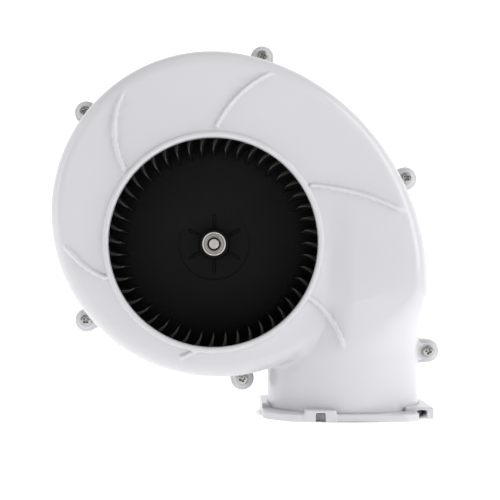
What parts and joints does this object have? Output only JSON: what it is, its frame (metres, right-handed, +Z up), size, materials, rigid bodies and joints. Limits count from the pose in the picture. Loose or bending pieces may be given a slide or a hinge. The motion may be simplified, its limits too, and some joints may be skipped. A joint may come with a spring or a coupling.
{
  "type": "centrifugal blower",
  "caption": "Centrifugal scroll blower with round inlet, forward-curved wheel, brushed motor behind, and a round outlet duct on a square flange.",
  "frame": {"origin": "centre of the outlet duct in the plane of the flange's foot", "axes": "+Z up along the outlet duct, towards the scroll; -Y is the side of the air inlet; +X is away from the wheel's axis"},
  "size_m": [0.2584, 0.1725, 0.249],
  "materials": {
    "housing_plastic": "satin moulded ABS, white",
    "wheel_plastic": "satin moulded nylon, black",
    "bright_steel": "turned, bright",
    "screw_steel": "stainless, satin",
    "can_steel": "zinc plated",
    "cast_plate": "die cast",
    "ferrite": "sintered ferrite, dull",
    "motor_plastic": "moulded, black",
    "terminal_brass": "rolled",
    "core_steel": "stacked laminations",
    "winding_copper": "enamelled copper",
    "gasket_rubber": "foam rubber, black",
    "gland_plastic": "nylon, black",
    "brush_carbon": "carbon graphite"
  },
  "bodies": {
    "housing": {"front_housing": "housing_plastic", "rear_housing": "housing_plastic", "outlet_flange": "housing_plastic", "housing_screws": "screw_steel", "motor_front_plate": "cast_plate", "motor_can": "can_steel", "field_magnets": "ferrite", "motor_rear_plate": "motor_plastic", "terminal_tabs": "terminal_brass", "tie_screws": "screw_steel", "motor_screws": "screw_steel", "brush_holders": "terminal_brass", "motor_cover": "housing_plastic", "cover_gasket": "gasket_rubber", "cover_screws": "screw_steel", "cable_gland": "gland_plastic", "gland_locknut": "gland_plastic", "gland_seal": "gasket_rubber", "gland_nut": "gland_plastic", "upper_brush_spring": "bright_steel", "lower_brush_spring": "bright_steel", "front_bearing_outer_ring": "bright_steel", "rear_bearing_outer_ring": "bright_steel"},
    "rotor": {"wheel_back_plate": "wheel_plastic", "wheel_blades": "wheel_plastic", "wheel_front_ring": "wheel_plastic", "hub_bush": "bright_steel", "hub_set_screw": "screw_steel", "motor_shaft": "bright_steel", "armature_core": "core_steel", "armature_windings": "winding_copper", "commutator": "winding_copper", "front_bearing_inner_ring": "bright_steel", "rear_bearing_inner_ring": "bright_steel"},
    "front_bearing_set": {"front_bearing_balls": "bright_steel", "front_bearing_cage": "terminal_brass"},
    "rear_bearing_set": {"rear_bearing_balls": "bright_steel", "rear_bearing_cage": "terminal_brass"},
    "upper_brush_body": {"upper_brush": "brush_carbon"},
    "lower_brush_body": {"lower_brush": "brush_carbon"}
  },
  "joints": [
    {"name": "wheel_spin", "type": "hinge", "parent": "housing", "child": "rotor", "pos_m": [-0.0876, 0, 0.1146], "axis": [0, 1, 0], "continuous": true},
    {"name": "front_bearing_roll", "type": "hinge", "parent": "housing", "child": "front_bearing_set", "pos_m": [-0.0876, 0.0445, 0.1146], "axis": [0, 1, 0], "continuous": true},
    {"name": "rear_bearing_roll", "type": "hinge", "parent": "housing", "child": "rear_bearing_set", "pos_m": [-0.0876, 0.1029, 0.1146], "axis": [0, 1, 0], "continuous": true},
    {"name": "upper_brush_slide", "type": "slide", "parent": "housing", "child": "upper_brush_body", "axis": [0, 0, 1], "range_m": [0, 0.003], "stiffness_N_per_m": 60, "springref_m": -0.005, "deforming": ["upper_brush_spring"]},
    {"name": "lower_brush_slide", "type": "slide", "parent": "housing", "child": "lower_brush_body", "axis": [0, 0, -1], "range_m": [0, 0.003], "stiffness_N_per_m": 60, "springref_m": -0.005, "deforming": ["lower_brush_spring"]}
  ],
  "couplings": [
    {"joint": "front_bearing_roll", "follows": "wheel_spin", "ratio": 0.3677},
    {"joint": "rear_bearing_roll", "follows": "wheel_spin", "ratio": 0.3677}
  ]
}
